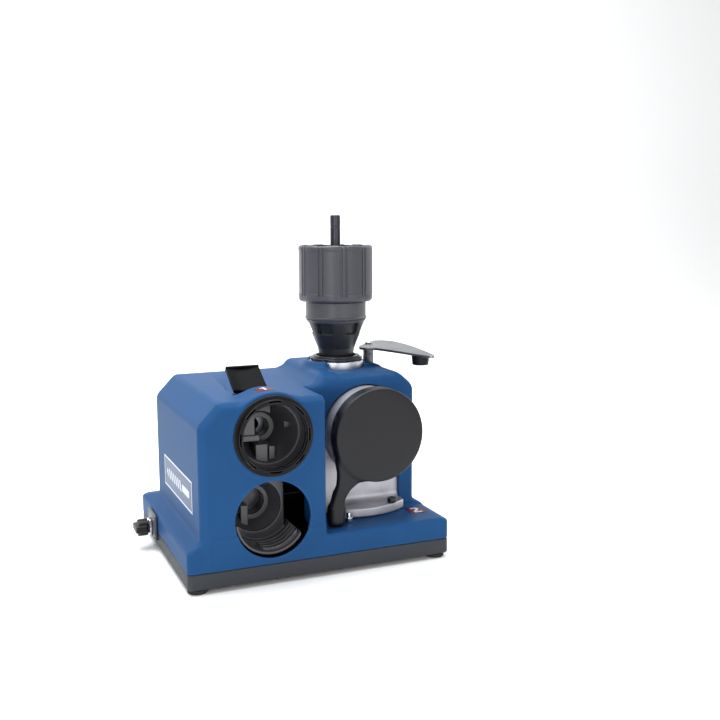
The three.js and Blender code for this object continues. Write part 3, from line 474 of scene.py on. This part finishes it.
def screw_f(cx, cy, z0, z1, R, hexr, depth, chamfer=0.5):
    def f(x, y, z):
        r = np.sqrt((x - cx) ** 2 + (y - cy) ** 2)
        o = rmax(r - R, slab(z, z0, z1), chamfer)
        X, Y = np.abs(x - cx), np.abs(y - cy)
        hx_ = np.maximum(X * 0.866 + Y * 0.5, Y) - hexr
        return cut(o, np.maximum(hx_, z1 - depth - z), 0.15)
    return f
def socket_screw(x, y, z):
    o = screw_f(172.3, 33, 36.3, 39.8, 3.7, 1.75, 2.0)(x, y, z)
    return np.minimum(o, np.maximum(cyl(x, y, 172.3, 33, 1.6), slab(z, 29.5, 37)))
carve("flange_cap_screw", socket_screw, (168, 29, 29.4), (176.2, 37, 40), 0.22, "machine", ["flange_screw"], M["dark_steel"], keep=0.4)
def stop_f(x, y, z):
    X, Y = np.abs(x - 130.2), np.abs(y - 20.8)
    hx_ = np.maximum(X * 0.866 + Y * 0.5, Y) - 2.9
    o = rmax(rmax(hx_, cyl(x, y, 130.2, 20.8, 3.15), 0.2), slab(z, 28.8, 32.4), 0.4)
    return rmin(o, rmax(cyl(x, y, 130.2, 20.8, 1.9), slab(z, 31, 36.3), 0.5), 0.3)
carve("stop_screw", stop_f, (126.5, 17, 28.8), (134, 25, 36.4), 0.22, "machine", ["guard_stop_screw"], M["chrome"], keep=0.4)

# ------------------------------------------------------------------ port
sl = arcs([(16.8, 133), (20, 133), (22, 135), (22, 144), (16.8, 144)], [0.3, 0.3, 0.3, 0.5, 0.5])
lathe("port_sleeve_ring", "Z", (149.8, 94), sl, "machine", ["port_sleeve"], M["alu_turned"], n=128)
def ring_f(x, y, z):
    r = np.sqrt((x - 149.8) ** 2 + (y - 94) ** 2); a = np.arctan2(y - 94, x - 149.8)
    o = rmax(np.maximum(r - 21.4, 16.4 - r), slab(z, 144.3, 146.4), 0.5)
    o = rmin(o, rmax(np.maximum(r - 19.2, 16.4 - r), slab(z, 144.3, 148.1), 0.5), 0.3)
    k = np.abs((a / (math.pi / 4)) - np.round(a / (math.pi / 4))) * (math.pi / 4) * 21
    return cut(o, np.maximum(k - 1.5, 20.3 - r), 0.25)
carve("port_flange_ring", ring_f, (128, 72, 144.3), (171.5, 116, 148.2), 0.35, "guide_ring", ["guide_ring"], M["dark_steel"], keep=0.3)

# ------------------------------------------------------------------ wheel guard
ARM = arcs([(112.2, 31), (122.4, 31), (122.8, 42), (124.0, 50), (127.5, 56), (133.5, 60.6), (142, 63.0), (131, 78), (118, 88), (116.4, 78), (117.6, 70), (117.2, 62), (114.6, 53.5), (112.4, 46)],
           [3, 3, 8, 9, 9, 9, 4, 4, 4, 9, 12, 12, 12, 9], seg=4)
def guard_f(x, y, z):
    r = np.sqrt((x - 151) ** 2 + (z - 97) ** 2)
    dome = 6.0 + np.clip((r / 36.0), 0, 1) ** 4 * 1.3
    d = rmax(rmax(r - 36, dome - y, 1.9), y - 19.5, 0.8)
    d = cut(d, np.maximum(r - 32.6, 12.6 - y), 0.6)
    arm = rmax(poly2(x, z, ARM), slab(y, 9.0 + np.clip(55 - z, 0, 14) * 0.16, 18.4), 3.4)
    arm = np.maximum(arm, -np.maximum(r - 32.6, 12.6 - y))
    o = rmin(d, arm, 3.5)
    brl = rmax(cyl(x, y, 118, 16, 5.9), slab(z, 29.2, 44), 2.6)
    o = rmin(o, brl, 5)
    o = np.maximum(o, -np.maximum(r - 32.4, 12.7 - y))
    return cut(o, cyl(x, y, 118, 16, 2.3), 0.2)
carve("guard_cover", guard_f, (111, 5, 29), (188, 24, 134), 0.55, "wheel_guard", ["wheel_guard"], M["black"], keep=0.2)

# ------------------------------------------------------------------ leaf cover
LEAF = [(167.5, 87), (171.5, 81), (178, 79), (184, 62), (189, 45), (193, 30), (197, 18.5), (200, 15.5), (203.5, 22), (206.5, 38), (209.5, 58), (212, 80),
        (212.6, 99), (211, 116), (206, 125), (197, 126), (187, 116), (179, 106), (171.5, 97)]
LEAFS = arcs(LEAF, 5, seg=4)
def leaf_f(x, y, z):
    e = poly2(x, y, LEAFS)
    o = rmax(e, slab(z, 151.7, 153.7), 0.7)
    lug = rmax(cyl(x, y, 200, 39, 6.9) - (z - 148.5) * 0.1, slab(z, 143.8, 152), 0.7)
    o = rmin(o, lug, 0.8)
    return cut(o, cyl(x, y, 184.5, 107, 2.3), 0.2)
carve("leaf_plate", leaf_f, (166, 14, 143.5), (213, 127, 154), 0.45, "leaf", ["leaf_cover"], M["leaf"], keep=0.22)
def post_f(x, y, z):
    o = rmax(cyl(x, y, 184.5, 107, 4.5), slab(z, 126, 151), 0.5)
    o = cut(o, -rmax(-(np.abs(z - 143.2) - 0.4), -(cyl(x, y, 184.5, 107, 4.1)), 0) if False else np.maximum(np.abs(z - 145.6) - 0.35, 4.15 - np.sqrt((x - 184.5) ** 2 + (y - 107) ** 2)), 0.1)
    return np.minimum(o, np.maximum(cyl(x, y, 184.5, 107, 1.9), slab(z, 150, 153.8)))
carve("leaf_pillar", post_f, (180, 102, 126), (189.2, 111.8, 154), 0.3, "machine", ["leaf_post"], M["steel"], keep=0.3)
def lscrew(x, y, z):
    r = np.sqrt((x - 184.5) ** 2 + (y - 107) ** 2)
    o = rmax(r - 3.4, rmax(z - 156 + (r / 3.4) ** 2 * 0.9, 154.1 - z, 0.2), 0.4)
    q = 0.707 * (x - 184.5 + y - 107)
    return cut(o, np.maximum(np.abs(q) - 0.45, 155.0 - z), 0.1)
carve("leaf_pivot_screw", lscrew, (181, 103.5, 154.1), (188, 110.5, 156.1), 0.2, "machine", ["leaf_screw"], M["chrome"], keep=0.4)

# ------------------------------------------------------------------ chuck
def chuck_f(x, y, z):
    X, Y = x - 149.8, y - 94
    r = np.sqrt(X * X + Y * Y); a = np.arctan2(Y, X)
    o = rmax(r - 13.9, slab(z, 134, 153), 0.8)
    cone = np.maximum(plane(r, z, 13.9, 151, 0.932, -0.3627), slab(z, 150, 179.5))
    o = rmin(o, cone, 2.0)
    o = rmin(o, rmax(r - 24.6, slab(z, 178.2, 192.3), 0.6), 1.5)
    # slots between the upper cone's ribs
    s = 6
    k = np.abs((a + 0.30) / (2 * math.pi / s) - np.round((a + 0.30) / (2 * math.pi / s))) * (2 * math.pi / s) * r
    pk = rmax(rmax(k - 6.4, slab(z, 166.5, 175.5), 1.2), (18.0 + (z - 166.5) * 0.36) - r, 0.4)
    o = cut(o, pk, 0.5)
    groove = np.maximum(np.abs(z - 178.3) - 0.35, 24.1 - r)
    o = cut(o, groove, 0.2)
    o = cut(o, np.maximum(r - 6.8, z - 172.5), 0.3)
    o = cut(o, np.maximum(np.maximum(r - 9.0, plane(r, z, 6.8, 172, 0.918, -0.397)), 171 - z), 0.2)
    return o
carve("chuck_cone", chuck_f, (122.5, 67, 134), (177.2, 121, 192.4), 0.5, "chuck", ["chuck_body"], M["cone"], keep=0.22)
def knob_f(x, y, z):
    X, Y = x - 149.8, y - 94
    r = np.sqrt(X * X + Y * Y); a = np.arctan2(Y, X)
    nl = 10
    ph = (a + 0.15) / (2 * math.pi / nl); k = np.abs(ph - np.round(ph)) * (2 * math.pi / nl) * 30
    out = r - (30.4 - 0.5 * np.clip(k / 8, 0, 1) ** 2)
    # a pair of upright ribs with grooves beside them between the flats
    gro = np.maximum(np.abs(k - 7.6) - 0.75, 29.0 - r)
    out = cut(out, np.maximum(gro, slab(z, 197.5, 241)), 0.45)
    low = np.maximum(k - 6.2, 29.75 - r)
    out = cut(out, np.maximum(low, slab(z, 199.5, 234)), 0.35)
    o = rmax(out, slab(z, 192.6, 238), 2.6)
    o = np.maximum(o, slab(z, 192.6, 238))
    o = cut(o, np.maximum(r - 26.9 - (z - 206) * 0.012, 206 - z), 0.8)
    o = cut(o, np.maximum(r - 24.5, z - 202), 0.5)
    hub = rmax(r - 9.5, slab(z, 192.8, 214), 0.8)
    o = rmin(o, hub, 1.5)
    for i in range(5):
        t = i * 2 * math.pi / 5 + 0.3
        q = np.abs(-X * math.sin(t) + Y * math.cos(t)) - 1.0
        o = rmin(o, np.maximum(np.maximum(q, -(X * math.cos(t) + Y * math.sin(t))), np.maximum(r - 27.4, slab(z, 203, 211))), 0.5)
    return cut(o, r - 4.5, 0.3)
carve("chuck_cup", knob_f, (116.8, 61, 192.6), (182.8, 127, 238), 0.5, "chuck_knob", ["chuck_knob"], M["knob"], keep=0.2)
dr = arcs([(0, 124.4), (4.0, 127.8), (4.1, 170), (4.1, 252), (3.9, 252.3), (3.9, 252.9), (4.1, 253.2), (4.1, 261.3), (3.4, 262), (0, 262)], [0, .2, 0, .1, .1, .1, .1, .4, .3, 0], seg=2, closed=False)
drill = lathe("bit_shank", "Z", (149.8, 94), dr, "chuck", ["drill_bit"], M["dark_steel"], n=40)

# ------------------------------------------------------------------ switch
def bezel_f(x, y, z):
    o = rmax(rrect(y, z, 103, 131, 5, 26, 3), slab(x, -2.5, -0.35), 0.6)
    o = cut(o, np.maximum(np.abs(rrect(y, z, 103, 131, 5, 26, 3) + 1.8) - 0.35, x + 2.0), 0.1)
    return cut(o, cyl(y, z, 117, 14, 5.3), 0.2)
carve("bezel_plate", bezel_f, (-2.6, 102.5, 4.5), (-0.3, 131.5, 26.5), 0.35, "machine", ["switch_bezel"], M["knob"], keep=0.3)
def nut_f(x, y, z):
    Y, Z = np.abs(y - 117), np.abs(z - 14)
    hx_ = np.maximum(Y * 0.866 + Z * 0.5, Z) - 6.7
    o = rmax(rmax(hx_, cyl(y, z, 117, 14, 7.5), 0.3), slab(x, -4.8, -2.8), 0.4)
    return cut(o, cyl(y, z, 117, 14, 5.3), 0.3)
carve("switch_collar_nut", nut_f, (-4.9, 109, 6), (-2.7, 125, 22), 0.3, "machine", ["switch_nut"], M["chrome"], keep=0.3)
def sknob_f(x, y, z):
    Y, Z = y - 117, z - 14
    r = np.sqrt(Y * Y + Z * Z); a = np.arctan2(Z, Y)
    o = rmax(r - (6.6 + 0.5 * np.cos(a * 8)), slab(x, -13.5, -6), 0.8)
    bar = rmax(rmax(slab(Y, -8.2, 8.2), slab(Z, -2.7, 2.7), 1.2), slab(x, -16, -7), 0.9)
    o = rmin(o, bar, 0.8)
    return np.minimum(o, np.maximum(r - 2.2, slab(x, -8, 8)))
carve("switch_grip", sknob_f, (-16, 108.5, 5.5), (8, 125.6, 22.5), 0.35, "switch", ["switch_knob"], M["black"], keep=0.25)

# ------------------------------------------------------------------ printed labels
def decal(name, pts, n, up, mat, lift=0.12, body="machine"):
    """thin closed plate from an outline of points; n is its outward direction"""
    n = np.array(n, float); V = [np.array(p, float) for p in pts]
    verts = [v + n * 0.02 for v in V] + [v + n * lift for v in V]
    k = len(V)
    faces = [list(range(k))[::-1], list(range(k, 2 * k))] + [[i, (i + 1) % k, k + (i + 1) % k, k + i] for i in range(k)]
    return from_py(name, verts, faces, body, [], mat, smooth=False)
def on_left(y, z): return (10.2, y, z)
def bar(y0, y1, z0, z1): return [on_left(y0, z0), on_left(y1, z0), on_left(y1, z1), on_left(y0, z1)]
LY0, LY1, LZ0, LZ1, T = 24.8, 118.1, 48.2, 72.4, 1.3
decal("side_panel_field", bar(LY0 + T, LY1 - T, LZ0 + T, LZ1 - T), (-1, 0, 0), None, M["print_blue"], 0.08)
for nm, q in (("a", bar(LY0, LY1, LZ0, LZ0 + T)), ("b", bar(LY0, LY1, LZ1 - T, LZ1)), ("c", bar(LY0, LY0 + T, LZ0 + T, LZ1 - T)), ("d", bar(LY1 - T, LY1, LZ0 + T, LZ1 - T))):
    decal("side_panel_line_" + nm, q, (-1, 0, 0), None, M["print_white"], 0.12)
# a plain picture of a twist bit
yc = [34, 42]
decal("side_bit_shank", bar(34, 56, 57.6, 63.0), (-1, 0, 0), None, M["print_white"], 0.16)
for i in range(6):
    y0 = 58.5 + i * 7.2
    decal("side_bit_flute_%d" % i, [on_left(y0, 56.6), on_left(y0 + 3.6, 56.6), on_left(y0 + 7.4, 64.0), on_left(y0 + 3.8, 64.0)], (-1, 0, 0), None, M["print_white"], 0.16)
decal("side_bit_tip", [on_left(102.6, 56.6), on_left(109.5, 60.3), on_left(106.2, 64.0)], (-1, 0, 0), None, M["print_white"], 0.16)

# station numbers
def number_plate(tag, centre, ux, uy, n, w, hgt, strokes, curve=None):
    c = np.array(centre, float); ux, uy, n = [np.array(v, float) for v in (ux, uy, n)]
    def P(a, b):
        return c + ux * a + uy * b if curve is None else curve(a, b)
    N = 8
    def plate(a0, a1, b0, b1, name, mat, lift, low=0.02):
        verts = []; faces = []
        for s in (low, lift):
            for i in range(N + 1):
                for b in (b0, b1):
                    a = a0 + (a1 - a0) * i / N
                    p = P(a, b); nn = n if curve is None else curve(a, b, True)
                    verts.append(p + nn * s)
        k = 2 * (N + 1)
        for i in range(N):
            faces.append([2 * i, 2 * i + 2, 2 * i + 3, 2 * i + 1]); faces.append([k + 2 * i, k + 2 * i + 1, k + 2 * i + 3, k + 2 * i + 2])
            faces.append([2 * i, k + 2 * i, k + 2 * i + 2, 2 * i + 2]); faces.append([2 * i + 1, 2 * i + 3, k + 2 * i + 3, k + 2 * i + 1])
        faces.append([0, 1, k + 1, k]); faces.append([2 * N, k + 2 * N, k + 2 * N + 1, 2 * N + 1])
        return from_py(name, verts, faces, "machine", [], mat, smooth=False)
    plate(-w / 2 - 0.35, w / 2 + 0.35, -hgt / 2 - 0.35, hgt / 2 + 0.35, tag + "_edge", M["red_dark"], 0.10)
    plate(-w / 2, w / 2, -hgt / 2, hgt / 2, tag + "_field", M["red"], 0.17, 0.11)
    for i, (a0, a1, b0, b1) in enumerate(strokes): plate(a0, a1, b0, b1, "%s_stroke_%d" % (tag, i), M["print_white"], 0.40, 0.18)
def on_bulge(a, b, normal=False):
    t = math.radians(90) - (a - 1.5) / 31.5
    nn = np.array([math.cos(t), 0, math.sin(t)])
    return nn if normal else np.array([64, 14.5 + b, 106.5]) + nn * 31.5
number_plate("mark_one", (62.5, 15, 138), (1, 0, 0), (0, 1, 0), (0, 0, 1), 11.5, 12, [(-0.8, 0.9, -4.2, 4.6), (-2.5, -0.75, 2.2, 3.8)], on_bulge)
number_plate("mark_two", (190.5, 27, 28.5), (1, 0, 0), (0, 1, 0), (0, 0, 1), 12.5, 14.5,
             [(-2.9, 2.6, 3.7, 5.6), (1.1, 3.2, 1.6, 3.72), (0.1, 2.4, 0.2, 1.62), (-1.0, 1.3, -1.2, 0.22), (-2.2, 0.1, -2.5, -1.18), (-3.2, -1.0, -3.9, -2.48), (-3.2, 3.3, -5.8, -3.88)])

# ------------------------------------------------------------------ stage, lights, camera
def stage_floor():
    n = 40; w = 2.6; verts = []; faces = []
    prof = [(-1.6, 0), (-0.8, 0), (0, 0), (0.6, 0), (1.0, 0)] + [(1.0 + 0.5 * math.sin(t), 0.5 - 0.5 * math.cos(t)) for t in np.linspace(0.1, math.pi / 2, 10)] + [(1.5, 1.2), (1.5, 2.6)]
    for y, z in prof: verts += [(-w, y, z), (w, y, z)]
    for i in range(len(prof) - 1): faces.append([2 * i, 2 * i + 1, 2 * i + 3, 2 * i + 2])
    me = bpy.data.meshes.new("studio_floor"); me.from_pydata(verts, [], faces); me.update()
    me.polygons.foreach_set("use_smooth", np.ones(len(me.polygons), bool))
    o = bpy.data.objects.new("studio_floor", me); bpy.context.scene.collection.objects.link(o)
    m = bpy.data.materials.new("m_floor"); m.use_nodes = True
    b = m.node_tree.nodes["Principled BSDF"]; b.inputs["Base Color"].default_value = (0.93, 0.93, 0.93, 1); b.inputs["Roughness"].default_value = 0.9
    b.inputs["Specular IOR Level"].default_value = 0.1
    me.materials.append(m)
    return o
stage_floor()
def area(name, loc, target, size, power, colour=(1, 1, 1)):
    l = bpy.data.lights.new(name, "AREA"); l.shape = "RECTANGLE"; l.size, l.size_y = size; l.energy = power; l.color = colour
    o = bpy.data.objects.new(name, l); bpy.context.scene.collection.objects.link(o)
    o.location = loc; d = Vector(target) - Vector(loc); o.rotation_euler = d.to_track_quat("-Z", "Y").to_euler()
    return o
T0 = (0, 0, 0.1)
area("key_top_left", (-0.8, -0.1, 1.45), T0, (1.1, 1.1), 13, (0.93, 0.98, 1.0))
area("fill_front", (0.35, -1.5, 0.5), T0, (1.2, 0.9), 5)
area("strip_front_left", (-0.95, -1.35, 0.45), T0, (0.35, 1.1), 6)
area("top_soft", (0.0, 0.3, 1.6), T0, (1.4, 1.4), 32, (0.95, 0.99, 1.0))
area("rim_right", (1.3, 0.3, 0.8), T0, (0.7, 1.0), 5)
w = bpy.data.worlds.new("studio"); bpy.context.scene.world = w; w.use_nodes = True
w.node_tree.nodes["Background"].inputs[0].default_value = (1, 1, 1, 1); w.node_tree.nodes["Background"].inputs[1].default_value = 0.62
vs = bpy.context.scene.view_settings; vs.view_transform = "Standard"; vs.look = "None"; vs.exposure = 0.0; vs.gamma = 1.0

cam = bpy.data.cameras.new("photo_camera"); cam.sensor_width = 36; cam.lens = 955.999 / 720 * 36; cam.clip_start = 0.02; cam.clip_end = 20
co = bpy.data.objects.new("photo_camera", cam); bpy.context.scene.collection.objects.link(co)
yaw, pitch, roll = 0.404044130, 0.143810793, -0.00364281468
fw = Vector((math.sin(yaw) * math.cos(pitch), math.cos(yaw) * math.cos(pitch), -math.sin(pitch)))
rt = Vector((math.cos(yaw), -math.sin(yaw), 0)); up = rt.cross(fw)
r2 = rt * math.cos(roll) + up * math.sin(roll); u2 = -rt * math.sin(roll) + up * math.cos(roll)
mw = Matrix((r2, u2, -fw)).transposed().to_4x4()
mw.translation = Vector(((-140.03441897 + OFF[0]) / 1000, (-634.08233175 + OFF[1]) / 1000, (256.64788247 + OFF[2]) / 1000))
co.matrix_world = mw
bpy.context.scene.camera = co

bpy.context.view_layer.update()
